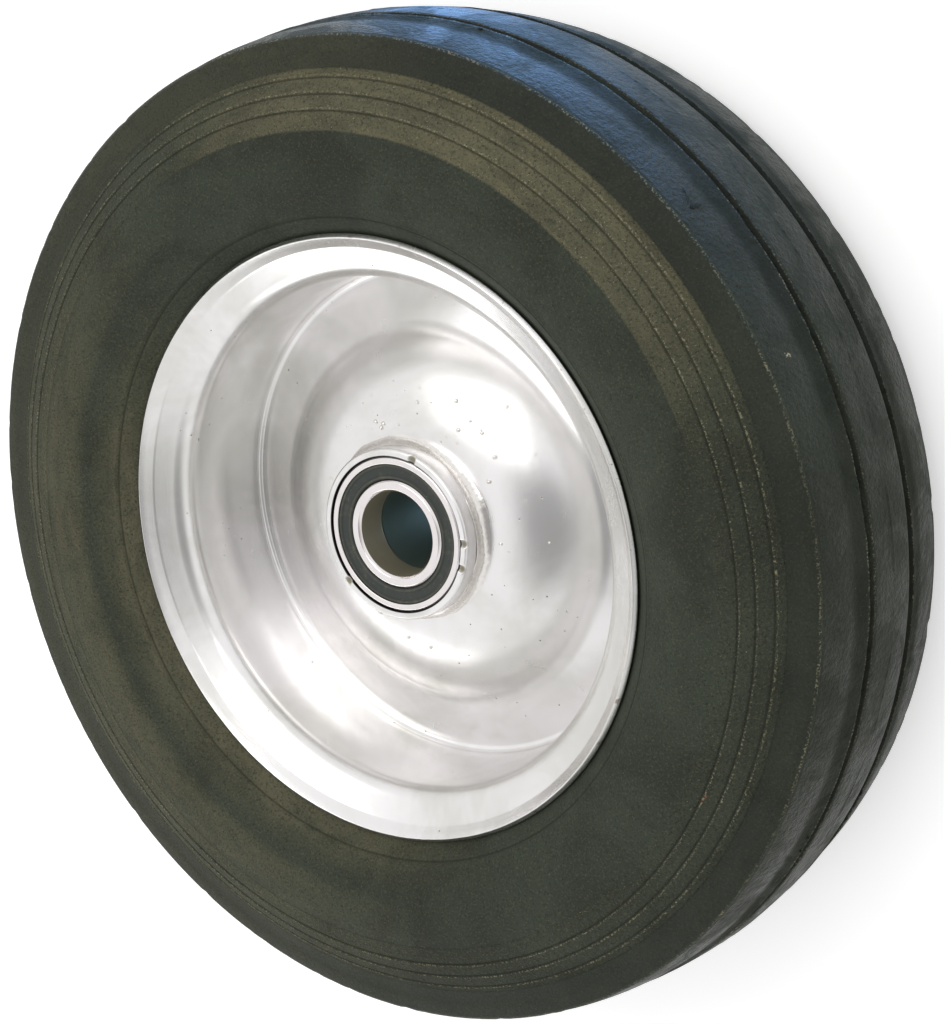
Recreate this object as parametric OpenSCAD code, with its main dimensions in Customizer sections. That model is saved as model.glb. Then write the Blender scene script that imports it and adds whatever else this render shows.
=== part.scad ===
// Solid rubber wheel on a rim of two lapped steel pressings, with a welded hub tube
// and two sealed ball bearings. It lies flat on its rear side: the axle line is Z,
// the front of the wheel looks up, and the origin is the centre of the wheel.

/* [Tyre] */
// Diameter over the middle of the tread
tyre_d = 350; // [320:1:380]
// Width over both side bulges
tyre_w = 100; // [92:1:110]
// Distance between the two tread corners
tread_w = 77; // [70:1:86]
// Drop in radius from the middle of the tread to its corner
corner_drop = 5.2; // [3:0.1:9]
// Radial width of the smooth shoulder inside the tread's corner
shoulder_w = 10.8; // [6:0.1:16]
// Height of the shoulder's inner edge over the tread's corner
shoulder_rise = 1.6; // [0.5:0.1:3]
// Middle of each tread groove, measured from the middle of the tyre
groove_z = 13.6; // [10:0.2:20]
// Width of each tread groove
groove_w = 3.2; // [1.6:0.2:6]
// Depth of each tread groove
groove_depth = 6; // [2:0.5:12]
// Height of the raised edge beside each groove
groove_lip_h = 1.4; // [0.4:0.1:3]
// Width of the band that rises to the raised edge
lip_band_w = 4.2; // [2:0.1:8]
// How far the crown of the middle rib stands above its edges
crown_h = 0.9; // [0.2:0.1:2]
// How far each side rib bulges over a straight line
side_rib_bulge = 0.7; // [0.2:0.1:2]
// Distance from the tyre's inner edge to the fine ring beside it
bead_ring_gap = 4.7; // [2:0.1:10]
// Distance from the shoulder to the nearest fine ring
side_ring_gap = 2.8; // [1.5:0.1:6]
// Step in radius from one fine ring to the next
side_ring_step = 5; // [3:0.1:7]
// Number of fine rings beside the shoulder
side_ring_n = 3; // [1:1:5]
// Width of the fine moulded rings
ring_line_w = 0.9; // [0.4:0.1:1.6]
// Depth of the fine moulded rings
ring_line_depth = 0.3; // [0.1:0.05:0.4]
// Width of the level strip of rubber beside the rim's lip
edge_strip_w = 1.2; // [0.6:0.1:3]

/* [Rim] */
// Inside diameter of the edge of the rim lips
rim_lip_d = 208; // [202:0.2:214]
// Width of the rim from lip to lip
rim_w = 79.6; // [68:0.2:86]
// Thickness of the pressed sheet
sheet_t = 2; // [1.5:0.1:3]
// Radial width of the flared lip outside the gutter
lip_flare_w = 3.6; // [2.5:0.1:6]
// Drop from the lip edge to the gutter
lip_flare_h = 4; // [2:0.1:5]
// Inside radius of the gutter
gutter_r = 3; // [1.5:0.1:5]
// Radial width of the flange between the gutter and the shoulder bend
flange_w = 6; // [4:0.1:8]
// Drop of the flange over that width
flange_drop = 3; // [1.5:0.1:5]
// Height of the bend from the flange to the seat
rim_bend_h = 6.9; // [5:0.1:10]
// Drop in radius over that bend
rim_bend_w = 5.3; // [4:0.1:8]
// Drop in radius over the seat, from the bend to the level barrel
seat_drop = 1.1; // [0.4:0.1:3]
// Half the width of the level barrel between the two seats
barrel_z = 9; // [5:0.5:14]

/* [Web and dome] */
// Depth of the corner between barrel and web under the middle of the wheel
web_corner_depth = 9.2; // [6:0.1:14]
// Inside radius of that corner
web_corner_r = 2.2; // [1:0.1:5]
// Diameter at the foot of the dome
dome_foot_d = 132.6; // [120:0.2:140]
// Depth of the dome's foot under the middle of the wheel
dome_foot_depth = 2.2; // [0:0.1:5]
// Height of the dome's top beside the weld
dome_top_z = 15.7; // [12:0.1:19]
// How far the dome's curve stands above a straight cone
dome_bulge = 3.2; // [1:0.1:6]
// Slope of the dome at its foot, in degrees
dome_foot_slope = 50; // [35:1:65]
// Radius of the hollow bend at the dome's foot
foot_bend_r = 12; // [6:0.5:20]
// Width of the rear pressing's web that lies on the back of the front one
lap_w = 14; // [8:0.5:17]

/* [Hub] */
// Wall of the hub tube around each bearing
hub_wall = 2.65; // [2:0.05:5]
// Length of the hub tube
hub_len = 51; // [46:0.5:70]
// Height of the shoulder in the tube behind each bearing
seat_shoulder = 3; // [1.5:0.1:4]
// Depth of each bearing under the end of the hub tube
bearing_inset = 0.3; // [0.1:0.1:2]
// Chamfer on the outer edge of the hub tube's ends
hub_chamfer = 0.7; // [0.2:0.1:1]
// Height of the weld bead in front of the dome, on the hub tube
hub_weld_h = 4; // [2.5:0.1:5]
// Width of that bead on the dome
hub_weld_w = 3.4; // [2.5:0.1:5]
// Height of the weld bead behind the dome, on the hub tube
back_weld_h = 3.2; // [2:0.1:5]
// Leg of the weld along the edge of the rear pressing's web
lap_weld_leg = 3; // [2:0.1:4]
// How far each bead swells over a straight line
weld_swell = 0.5; // [0.1:0.1:1]
// Width of each stake mark in the ends of the hub tube
stake_w = 2.4; // [1:0.1:4]
// Depth of each stake mark
stake_depth = 0.8; // [0.3:0.1:1.5]
// How far each stake mark reaches into the tube's wall
stake_reach = 1.3; // [0.8:0.1:1.8]
// Gap between the axle and the spacer tube
spacer_gap = 0.3; // [0.1:0.1:1]
// Wall of the spacer tube between the bearings
spacer_wall = 2.7; // [1.5:0.1:3]

/* [Bearings] */
// Bore of each bearing, which is the axle's size
bore_d = 30; // [28:0.5:31]
// Outside diameter of each bearing
bearing_d = 55; // [54:0.5:56]
// Width of each bearing
bearing_w = 13; // [12:0.5:16]
// Diameter of each ball
ball_d = 7.144; // [6.4:0.001:7.2]
// Number of balls in each bearing
ball_n = 11; // [8:1:11]
// Radial gap between the two rings beside the raceways
ring_gap = 4.3; // [3.8:0.1:4.6]
// Width of the ledge in the outer ring that holds each seal
seal_ledge = 1.3; // [0.8:0.1:1.6]
// Thickness of each seal
seal_t = 1.6; // [1:0.1:2]
// Depth of each seal under the faces of the rings
seal_inset = 0.4; // [0.2:0.1:0.8]
// Width of the raised lips of each seal
seal_lip_w = 1.2; // [0.6:0.1:1.5]
// Height of those lips
seal_lip_h = 0.4; // [0.2:0.1:0.6]
// Chamfer on the corners of the rings
ring_chamfer = 0.9; // [0.4:0.1:1.2]
// Thickness of the cage's strip
cage_t = 0.6; // [0.4:0.05:0.8]
// Width of the cage's strip
cage_w = 2.8; // [2.2:0.1:3.2]
// Diameter of the cage's rivets
rivet_d = 1; // [0.6:0.1:1.4]
// Diameter of the rivets' heads
rivet_head_d = 1.7; // [1.2:0.1:2.2]
// Height of the rivets' heads
rivet_head_h = 0.36; // [0.2:0.02:0.6]
// Gap between the balls and the raceways
race_gap = 0.08; // [0.05:0.01:0.2]
// Gap between each ball and its cage pocket
pocket_gap = 0.12; // [0.08:0.01:0.3]
// Gap between the lip of a seal and the inner ring
seal_gap = 0.15; // [0.1:0.01:0.3]

/* [Hidden] */
$fn = 96;

zinc = "#c9cacb";
steel = "#d5d6d6";
weld = "#b9b7b2";
cage_strip = "#b7a888";
rubber = "#3e423c";
seal_rubber = "#444844";

// Steps in each curved stretch of a profile
arc_steps = 10;
// Facets of the smallest round pieces
small_facets = 24;
// How far a cutting shape runs past the face it cuts
overshoot = 1;

// Points along an arc from a to b that stands h to the left of the straight line
function arc_points(a, b, h, n = arc_steps) =
    let (
        chord = norm(b - a),
        along = (b - a) / chord,
        left = [-along.y, along.x],
        rise = max(abs(h), chord / 10000),
        side = h < 0 ? -1 : 1,
        radius = (chord * chord / 4 + rise * rise) / (2 * rise),
        half = 2 * atan(2 * rise / chord),
        middle = (a + b) / 2 + left * side * (rise - radius)
    )
    [for (i = [0:n]) let (t = half * (2 * i / n - 1))
        middle + radius * (along * sin(t) + left * side * cos(t))];

// Points along the arc of radius r that rounds the corner between before and after
function corner_arc(corner, before, after, r, n = arc_steps) =
    let (
        u = (before - corner) / norm(before - corner),
        v = (after - corner) / norm(after - corner),
        half = acos(u * v) / 2,
        a = corner + u * r / tan(half),
        b = corner + v * r / tan(half),
        side = cross(b - a, corner - a) > 0 ? 1 : -1
    )
    arc_points(a, b, side * r * (1 - sin(half)), n);

// Unit vector to the left of the step from a to b
function left_of(a, b) = let (d = (b - a) / norm(b - a)) [-d.y, d.x];

// The path moved sideways by d, to its left
function shifted(path, d) =
    let (last = len(path) - 1)
    [for (i = [0:last])
        let (
            before = left_of(path[max(i - 1, 0)], path[max(i, 1)]),
            after = left_of(path[min(i, last - 1)], path[min(i + 1, last)]),
            both = (before + after) / norm(before + after)
        )
        path[i] + both * d / (both * before)];

function reversed(path) = [for (i = [len(path) - 1:-1:0]) path[i]];
function mirrored(path) = [for (p = reversed(path)) [p.x, -p.y]];
function without_last(path) = [for (i = [0:len(path) - 2]) path[i]];
function last_of(path) = path[len(path) - 1];

// Rim section: the seen side of the sheet, from a lip to the level barrel
lip_point = [rim_lip_d / 2, rim_w / 2];
gutter_point = lip_point - [lip_flare_w, lip_flare_h];
flange_point = gutter_point - [flange_w, flange_drop];
bend_point = flange_point - [rim_bend_w, rim_bend_h];
barrel_r = bend_point.x - seat_drop;
barrel_point = [barrel_r, barrel_z];
// The bend turns from the flange's slope to the seat's, so its height over the chord follows
rim_bend_turn = atan2(flange_w, flange_drop) - atan2(seat_drop, bend_point.y - barrel_z);
rim_bend_rise = norm(bend_point - flange_point) / 2 * tan(rim_bend_turn / 4);
rim_half = concat(
    [lip_point],
    corner_arc(gutter_point, lip_point, flange_point, gutter_r, 4),
    arc_points(flange_point, bend_point, -rim_bend_rise),
    [barrel_point]);
rim_back = shifted(concat(rim_half, mirrored(rim_half)), sheet_t);

// Front pressing: from the lip down the barrel, round the corner, over the web and up the dome
hub_d = bearing_d + 2 * hub_wall;
hub_r = hub_d / 2;
web_corner = [barrel_r, -web_corner_depth];
foot_point = [dome_foot_d / 2, -dome_foot_depth];
web_slope = atan2(foot_point.y - web_corner.y, web_corner.x - foot_point.x);
dome_start = [hub_r + hub_weld_w, dome_top_z];
foot_bend = corner_arc(foot_point, web_corner,
    foot_point + [-cos(dome_foot_slope), sin(dome_foot_slope)], foot_bend_r, 6);
front_path = concat(
    rim_half,
    corner_arc(web_corner, barrel_point, foot_point, web_corner_r, 6),
    without_last(foot_bend),
    arc_points(last_of(foot_bend), dome_start, -dome_bulge, 14),
    [[hub_r, dome_top_z]]);
front_back = shifted(front_path, sheet_t);
front_back_last = len(front_back) - 1;

// Rear pressing, drawn as if it were at the front: its web lies on the back of the front one,
// and its corner is where the web's line meets the seat's
web_fall = tan(web_slope);
seat_fall = seat_drop / (bend_point.y - barrel_z);
rear_rise = (web_corner_depth + 2 * sheet_t / cos(web_slope) - barrel_z) / (1 - seat_fall * web_fall);
rear_corner = barrel_point + rear_rise * [seat_fall, 1];
lap_edge = rear_corner - lap_w * [1, web_fall];
rear_path = concat(
    without_last(rim_half),
    corner_arc(rear_corner, bend_point, lap_edge, web_corner_r, 6),
    [lap_edge]);
rear_back = shifted(rear_path, sheet_t);

// Tyre section
tyre_edge = rim_back[0] + [edge_strip_w, edge_strip_w / 6];
bulge_top = tyre_w / 2;
corner_point = [tyre_d / 2 - corner_drop, tread_w / 2];
shoulder_point = corner_point + [-shoulder_w, shoulder_rise];
side_rise = bulge_top - (tyre_edge.y + shoulder_point.y) / 2;
side_chord = norm(shoulder_point - tyre_edge);
side_tilt = atan2(shoulder_point.y - tyre_edge.y, shoulder_point.x - tyre_edge.x);
side_arc = arc_points(tyre_edge, shoulder_point, side_rise, 2 * arc_steps);
side_radius = (side_chord * side_chord / 4 + side_rise * side_rise) / (2 * side_rise);
side_middle = (tyre_edge + shoulder_point) / 2
    + [-sin(side_tilt), cos(side_tilt)] * (side_rise - side_radius);
function side_z(r) = side_middle.y + sqrt(max(side_radius * side_radius - pow(r - side_middle.x, 2), 0));

corner_cut = [1.2, 1];
rib_r = tyre_d / 2 - crown_h;
outer_lip_z = groove_z + groove_w / 2;
inner_lip_z = groove_z - groove_w / 2;
floor_r = rib_r - groove_depth;
floor_round = groove_w / 4;
lip_foot = [rib_r - groove_lip_h, outer_lip_z + lip_band_w];
lip_top = [rib_r, outer_lip_z];
lip_middle = (lip_foot + lip_top) / 2 - [groove_lip_h / 6, 0];
tyre_half = concat(
    without_last(side_arc),
    [shoulder_point, corner_point + [-corner_cut.x, corner_cut.y]],
    arc_points(corner_point, lip_foot, side_rib_bulge, 6),
    [lip_middle, lip_top],
    [[floor_r + floor_round, outer_lip_z], [floor_r, outer_lip_z - floor_round],
        [floor_r, inner_lip_z + floor_round], [floor_r + floor_round, inner_lip_z]],
    arc_points([rib_r, inner_lip_z], [tyre_d / 2, 0], crown_h / 4, 5));
tyre_outline = concat(without_last(tyre_half), mirrored(tyre_half), reversed(rim_back));

module revolved(outline) rotate_extrude() polygon(outline);

module ring(outer_r, inner_r, height) {
    difference() {
        cylinder(r = outer_r, h = height);
        translate([0, 0, -overshoot]) cylinder(r = inner_r, h = height + 2 * overshoot);
    }
}

module fine_ring(r) {
    for (side = [0, 1]) mirror([0, 0, side])
        rotate_extrude() translate([r, side_z(r) + ring_line_w / 2 - ring_line_depth])
            circle(d = ring_line_w, $fn = small_facets);
}

// Solid rubber tyre with a three-rib tread, moulded on the rim
module tyre() {
    color(rubber) difference() {
        revolved(tyre_outline);
        fine_ring(tyre_edge.x + bead_ring_gap);
        for (i = [0:side_ring_n - 1]) fine_ring(shoulder_point.x - side_ring_gap - i * side_ring_step);
    }
}

// Front half of the rim, drawn in one piece with the web and the dome
module front_pressing() {
    color(zinc) revolved(concat(front_path, reversed(front_back)));
}

// Rear half of the rim, with the narrow web that laps the front one
module rear_pressing() {
    color(zinc) mirror([0, 0, 1]) revolved(concat(rear_path, reversed(rear_back)));
}

// Weld along the edge of the rear web, on the back of the front one
module lap_weld() {
    edge_seen = [last_of(rear_path).x, -last_of(rear_path).y];
    edge_back = [last_of(rear_back).x, -last_of(rear_back).y];
    toe = edge_back + lap_weld_leg * [-cos(web_slope), sin(web_slope)];
    color(weld) revolved(concat([edge_back], arc_points(toe, edge_seen, -weld_swell, 5)));
}

// Hub tube with a seat and a shoulder for each bearing, and four stake marks in each end
stake_angles = [65, 215, 336, 354];
hub_end = hub_len / 2;
seat_end = hub_end - bearing_inset - bearing_w;
module stake_marks() {
    for (a = stake_angles) rotate([0, 0, a])
        translate([bearing_d / 2 - overshoot, -stake_w / 2, hub_end - stake_depth])
            cube([overshoot + stake_reach, stake_w, stake_depth + overshoot]);
}
module hub_tube() {
    seat_r = bearing_d / 2;
    half = [[hub_r, hub_end - hub_chamfer], [hub_r - hub_chamfer, hub_end],
        [seat_r, hub_end], [seat_r, seat_end], [seat_r - seat_shoulder, seat_end]];
    color(zinc) difference() {
        revolved(concat(half, mirrored(half)));
        stake_marks();
        mirror([0, 0, 1]) stake_marks();
    }
}

// Weld bead between the dome and the hub tube
module front_hub_weld() {
    color(weld) revolved(concat(
        [last_of(front_path)],
        arc_points(dome_start, [hub_r, dome_top_z + hub_weld_h], weld_swell, 5)));
}

// Weld bead on the back of the dome, around the hub tube
module back_hub_weld() {
    foot = front_back[front_back_last];
    toe = front_back[front_back_last - 1];
    color(weld) revolved(concat([foot], arc_points([hub_r, foot.y - back_weld_h], toe, weld_swell, 5)));
}

// Spacer tube that keeps the two inner rings apart on the axle
module spacer_tube() {
    inner_r = bore_d / 2 + spacer_gap;
    color(steel) translate([0, 0, -seat_end]) ring(inner_r + spacer_wall, inner_r, 2 * seat_end);
}

// Each bearing is drawn with its middle at the origin and its outer face up
pitch_r = (bore_d + bearing_d) / 4;
inner_land_r = pitch_r - ring_gap / 2;
outer_land_r = pitch_r + ring_gap / 2;
seal_seat_r = outer_land_r + seal_ledge;
race_r = ball_d / 2 + race_gap;
half_w = bearing_w / 2;
seal_top = half_w - seal_inset;

module chamfered_ring(outer_r, inner_r) {
    c = ring_chamfer;
    revolved([
        [outer_r, half_w - c], [outer_r - c, half_w], [inner_r + c, half_w], [inner_r, half_w - c],
        [inner_r, c - half_w], [inner_r + c, -half_w], [outer_r - c, -half_w], [outer_r, c - half_w]]);
}

module raceway() rotate_extrude() translate([pitch_r, 0]) circle(r = race_r);

module outer_ring() {
    land = outer_land_r;
    seat = seal_seat_r;
    c = ring_chamfer;
    step = seal_top - seal_t;
    color(steel) difference() {
        revolved([
            [bearing_d / 2, half_w - c], [bearing_d / 2 - c, half_w], [seat, half_w],
            [seat, step], [land, step], [land, -step], [seat, -step], [seat, -half_w],
            [bearing_d / 2 - c, -half_w], [bearing_d / 2, c - half_w]]);
        raceway();
    }
}

module inner_ring() {
    color(steel) difference() {
        chamfered_ring(inner_land_r, bore_d / 2);
        raceway();
    }
}

// Rubber seal over a steel plate, pressed into the outer ring and just clear of the inner ring
module seal() {
    outer_r = seal_seat_r;
    inner_r = inner_land_r + seal_gap;
    low = seal_top - seal_lip_h;
    color(seal_rubber) revolved([
        [outer_r, seal_top - seal_t], [outer_r, low], [outer_r - seal_lip_h, seal_top],
        [outer_r - seal_lip_w, seal_top], [outer_r - seal_lip_w - seal_lip_h, low],
        [inner_r + seal_lip_w + seal_lip_h, low], [inner_r + seal_lip_w, seal_top],
        [inner_r + seal_lip_h, seal_top], [inner_r, low], [inner_r, seal_top - seal_t]]);
}

module at_balls() for (i = [0:ball_n - 1]) rotate([0, 0, i * 360 / ball_n]) translate([pitch_r, 0, 0]) children();
module between_balls() rotate([0, 0, 180 / ball_n]) at_balls() children();

module balls() {
    color(steel) at_balls() sphere(d = ball_d);
}

// Upper half of the pressed strip cage: flat between the balls and cupped over them
pocket_r = ball_d / 2 + pocket_gap;
module cage_half() {
    band_outer = pitch_r + cage_w / 2;
    color(cage_strip) difference() {
        intersection() {
            ring(band_outer, pitch_r - cage_w / 2, pocket_r + 2 * cage_t);
            union() {
                translate([0, 0, -overshoot]) cylinder(r = band_outer + overshoot, h = cage_t + overshoot);
                at_balls() sphere(r = pocket_r + cage_t);
            }
        }
        at_balls() sphere(r = pocket_r);
        between_balls() translate([0, 0, -overshoot])
            cylinder(d = rivet_d, h = cage_t + 2 * overshoot, $fn = small_facets);
    }
}

// Rivets that hold the two halves of the cage together
module cage_rivets() {
    color(cage_strip) between_balls() {
        translate([0, 0, -cage_t]) cylinder(d = rivet_d, h = 2 * cage_t, $fn = small_facets);
        for (side = [0, 1]) mirror([0, 0, side]) translate([0, 0, cage_t])
            cylinder(d = rivet_head_d, h = rivet_head_h, $fn = small_facets);
    }
}

bearing_z = hub_end - bearing_inset - half_w;
module at_front() translate([0, 0, bearing_z]) children();
module at_rear() mirror([0, 0, 1]) translate([0, 0, bearing_z]) children();

module front_outer_ring() at_front() outer_ring();
module front_inner_ring() at_front() inner_ring();
module front_outer_seal() at_front() seal();
module front_inner_seal() at_front() mirror([0, 0, 1]) seal();
module front_cage_top() at_front() cage_half();
module front_cage_bottom() at_front() mirror([0, 0, 1]) cage_half();
module front_cage_rivets() at_front() cage_rivets();
module front_balls() at_front() balls();
module rear_outer_ring() at_rear() outer_ring();
module rear_inner_ring() at_rear() inner_ring();
module rear_outer_seal() at_rear() seal();
module rear_inner_seal() at_rear() mirror([0, 0, 1]) seal();
module rear_cage_top() at_rear() cage_half();
module rear_cage_bottom() at_rear() mirror([0, 0, 1]) cage_half();
module rear_cage_rivets() at_rear() cage_rivets();
module rear_balls() at_rear() balls();

tyre();
rear_pressing();
front_pressing();
lap_weld();
hub_tube();
front_hub_weld();
back_hub_weld();
spacer_tube();
front_outer_ring();
front_inner_ring();
front_outer_seal();
front_inner_seal();
front_cage_top();
front_cage_bottom();
front_cage_rivets();
front_balls();
rear_outer_ring();
rear_inner_ring();
rear_outer_seal();
rear_inner_seal();
rear_cage_top();
rear_cage_bottom();
rear_cage_rivets();
rear_balls();
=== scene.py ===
"""Solid rubber wheel: the dressed model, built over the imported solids."""

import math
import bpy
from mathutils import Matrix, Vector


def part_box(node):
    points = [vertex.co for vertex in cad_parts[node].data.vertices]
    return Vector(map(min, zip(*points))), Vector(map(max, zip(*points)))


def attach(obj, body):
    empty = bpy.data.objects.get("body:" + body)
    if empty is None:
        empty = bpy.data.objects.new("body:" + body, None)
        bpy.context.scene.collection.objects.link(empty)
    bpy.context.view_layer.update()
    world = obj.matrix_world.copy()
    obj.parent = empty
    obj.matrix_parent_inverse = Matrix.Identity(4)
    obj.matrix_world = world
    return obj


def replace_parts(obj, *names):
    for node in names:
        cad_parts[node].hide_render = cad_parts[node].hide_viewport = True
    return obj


bl_info = {
    "name": "Solid rubber wheel",
    "version": (1, 0, 0),
    "blender": (4, 5, 0),
    "location": "3D View > Sidebar > Wheel",
    "description": "Dresses the packed solid rubber wheel: tyre, pressings, welds, bearings and studio",
    "category": "Object",
}

import bpy
import numpy as np
from bpy.props import FloatProperty, FloatVectorProperty, IntProperty, PointerProperty
from mathutils import Matrix

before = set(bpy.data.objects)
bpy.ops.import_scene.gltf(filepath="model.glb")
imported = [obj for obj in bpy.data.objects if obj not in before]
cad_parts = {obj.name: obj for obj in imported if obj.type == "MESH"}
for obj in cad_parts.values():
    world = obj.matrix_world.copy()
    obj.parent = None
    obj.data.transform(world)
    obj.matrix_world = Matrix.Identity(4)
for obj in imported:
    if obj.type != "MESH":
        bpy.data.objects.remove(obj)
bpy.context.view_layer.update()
MM = 0.001
TURN = 2 * math.pi
TYRE_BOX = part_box("tyre")


def linear(red, green, blue):
    """The linear colour of three display values from 0 to 255."""
    c = np.array([red, green, blue]) / 255
    return tuple(np.where(c <= 0.04045, c / 12.92, ((c + 0.055) / 1.055) ** 2.4))



def length(name, text, value, low=0.0, high=1.0):
    """A length in metres that a user may change."""
    return FloatProperty(
        name=name, description=text, default=value, min=low, max=high,
        subtype="DISTANCE", unit="LENGTH", precision=5,
    )


def paint(name, text, red, green, blue):
    """A colour that a user may change, given by its display values."""
    return FloatVectorProperty(
        name=name, description=text, default=linear(red, green, blue),
        min=0.0, max=1.0, size=3, subtype="COLOR",
    )


class WheelSizes(bpy.types.PropertyGroup):
    """Sizes of the fine detail that the solids leave out."""

    ring_depth: length("Ring depth", "Depth of the fine moulded rings in the sides of the tyre", 0.00045, 0, 0.001)
    ring_bead: length("Ring bead", "Height of the bead beside each fine ring", 0.00028, 0, 0.001)
    flash_height: length("Flash height", "Height of the torn parting line round the middle rib", 0.0007, 0, 0.002)
    lip_wave: length("Groove lip wave", "How unevenly the lips of the tread grooves stand", 0.00035, 0, 0.001)
    edge_wear: length("Edge wear", "How deeply the corners of the tread are nibbled", 0.0004, 0, 0.002)
    sheet_wave: length("Sheet wave", "How far the pressed sheet is out of true", 0.00006, 0, 0.001)
    bead_ripple: length("Weld ripple", "Height of the ripples in the weld beads", 0.00022, 0, 0.001)
    droplet: length("Droplet", "Radius of an average droplet of weld spatter", 0.0006, 0.0001, 0.002)
    droplets: IntProperty(name="Droplets", description="Number of droplets of weld spatter on the dome", default=34, min=0, max=300)
    crumb: length("Crumb", "Length of an average crumb of torn rubber", 0.0022, 0.0002, 0.01)


class WheelColours(bpy.types.PropertyGroup):
    """Colours of the finishes."""

    rubber: paint("Rubber", "Moulded rubber of the tyre", 56, 62, 52)
    rubber_brown: paint("Brown rubber", "Dusty brown cast of the rough bands", 104, 100, 78)
    # In the tread grooves this colour is painted shade.
    rubber_dark: paint("Dark rubber", "Fresh dark rubber in grooves and on the shoulder", 34, 37, 30)
    rubber_light: paint("Light rubber", "Rubbed specks on the edges", 168, 160, 130)
    clay: paint("Clay", "A small mark of brick-coloured dust", 176, 96, 66)
    zinc: paint("Zinc", "Bright zinc coat of the sheet", 236, 234, 234)
    zinc_dull: paint("Dull zinc", "Duller patches of the zinc coat", 218, 217, 213)
    rust: paint("Rust", "Thin rust in pits and at sheared edges", 120, 84, 56)
    weld: paint("Weld", "Weld metal", 232, 228, 224)
    steel: paint("Ground steel", "Ground and polished bearing steel", 236, 230, 230)
    plain_steel: paint("Plain steel", "Dull steel of the spacer tube", 132, 148, 140)
    seal: paint("Seal", "Rubber of the bearing seals", 62, 66, 63)
    cage: paint("Cage", "Pressed strip of the ball cages", 168, 158, 138)
    floor: paint("Floor", "Pale floor", 243, 243, 243)


class WheelStage(bpy.types.PropertyGroup):
    """Camera and light."""

    lens: FloatProperty(name="Focal length", description="Focal length of the camera in millimetres", default=89.846, min=10, max=300, unit="CAMERA")
    key_power: FloatProperty(name="Key lamp", description="Power of the large soft lamp", default=9.0, min=0, max=1000, unit="POWER")
    bounce_power: FloatProperty(name="Bounce lamp", description="Power of the cool light that comes up from the floor beside the tread", default=1.7, min=0, max=1000, unit="POWER")
    world_level: FloatProperty(name="World level", description="Strength of the even light all round", default=0.75, min=0, max=5)



def arc(a, b, rise, count=10):
    """Points on the circular arc from a to b whose middle stands rise to the left of the straight line."""
    a, b = np.array(a, float), np.array(b, float)
    chord = np.linalg.norm(b - a)
    along = (b - a) / chord
    left = np.array([-along[1], along[0]])
    h = max(abs(rise), chord / 10000)
    side = math.copysign(1, rise)
    radius = (chord**2 / 4 + h * h) / (2 * h)
    half = 2 * math.atan(2 * h / chord)
    t = np.linspace(-half, half, count + 1)[:, None]
    return (a + b) / 2 + left * side * (h - radius) + radius * (along * np.sin(t) + left * side * np.cos(t))


def shifted(path, d):
    """The path moved sideways by d to its left, with mitred corners."""
    step = np.diff(path, axis=0)
    left = np.stack([-step[:, 1], step[:, 0]], 1) / np.linalg.norm(step, axis=1)[:, None]
    before, after = np.vstack([left[:1], left]), np.vstack([left, left[-1:]])
    both = before + after
    both /= np.linalg.norm(both, axis=1)[:, None]
    return path + both * (d / (both * before).sum(1))[:, None]


def mirrored(path):
    """The path's mirror image across the middle plane, run backwards so that it carries on from the path."""
    return path[::-1] * [1, -1]


def rounded(path, radius, steps=3, least=12):
    """A closed outline whose corners that turn more than least degrees become parabolic arcs about radius wide."""
    before, after = np.roll(path, 1, 0), np.roll(path, -1, 0)
    d_in, d_out = path - before, after - path
    l_in, l_out = np.linalg.norm(d_in, axis=1), np.linalg.norm(d_out, axis=1)
    u_in, u_out = d_in / l_in[:, None], d_out / l_out[:, None]
    turn = np.degrees(np.arccos(np.clip((u_in * u_out).sum(1), -1, 1)))
    cut = np.minimum(radius, 0.42 * np.minimum(l_in, l_out))[:, None]
    s = np.linspace(0, 1, steps + 1)[None, :, None]
    a, b = (path - u_in * cut)[:, None], (path + u_out * cut)[:, None]
    curve = (1 - s) ** 2 * a + 2 * s * (1 - s) * path[:, None] + s * s * b
    return np.vstack([curve[i] if turn[i] > least else path[i : i + 1] for i in range(len(path))])


def spread(path, longest):
    """A closed outline with points added evenly, so that no step is over longest."""
    after = np.roll(path, -1, 0)
    parts = np.maximum(np.ceil(np.linalg.norm(after - path, axis=1) / longest), 1).astype(int)
    start = np.repeat(np.arange(len(path)), parts)
    share = (np.arange(parts.sum()) - np.repeat(np.cumsum(parts) - parts, parts)) / parts[start]
    return path[start] + (after - path)[start] * share[:, None]


def waves(t, orders, seed, fall=0.0):
    """An uneven line round the wheel: a sum of cosines of whole orders with seeded strengths and phases, each order's strength falling as order to the power -fall, scaled to about -1 to 1."""
    rng = np.random.default_rng(seed)
    orders = np.asarray(orders)
    size = rng.uniform(0.3, 1.0, len(orders)) * orders.astype(float) ** -fall
    phase = rng.uniform(0, TURN, len(orders))
    line = sum(a * np.cos(k * t + p) for a, k, p in zip(size, orders, phase))
    return line / (1.6 * math.sqrt((size**2).sum()))


def near(x, centre, width):
    """A smooth bump, 1 at centre and nearly 0 beyond two widths."""
    return np.exp(-(((x - centre) / width) ** 2))


def corner_arc(corner, before, after, radius, count=10):
    """Points on the arc of that radius that rounds the corner between the points before and after: it starts and ends radius / tan(half the corner) from it."""
    corner, before, after = (np.array(p, float) for p in (corner, before, after))
    u, v = (before - corner) / np.linalg.norm(before - corner), (after - corner) / np.linalg.norm(after - corner)
    half = math.acos(u @ v) / 2
    a, b = corner + u * radius / math.tan(half), corner + v * radius / math.tan(half)
    side = np.sign((b - a)[0] * (corner - a)[1] - (b - a)[1] * (corner - a)[0])
    return arc(a, b, side * radius * (1 - math.sin(half)), count)


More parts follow.
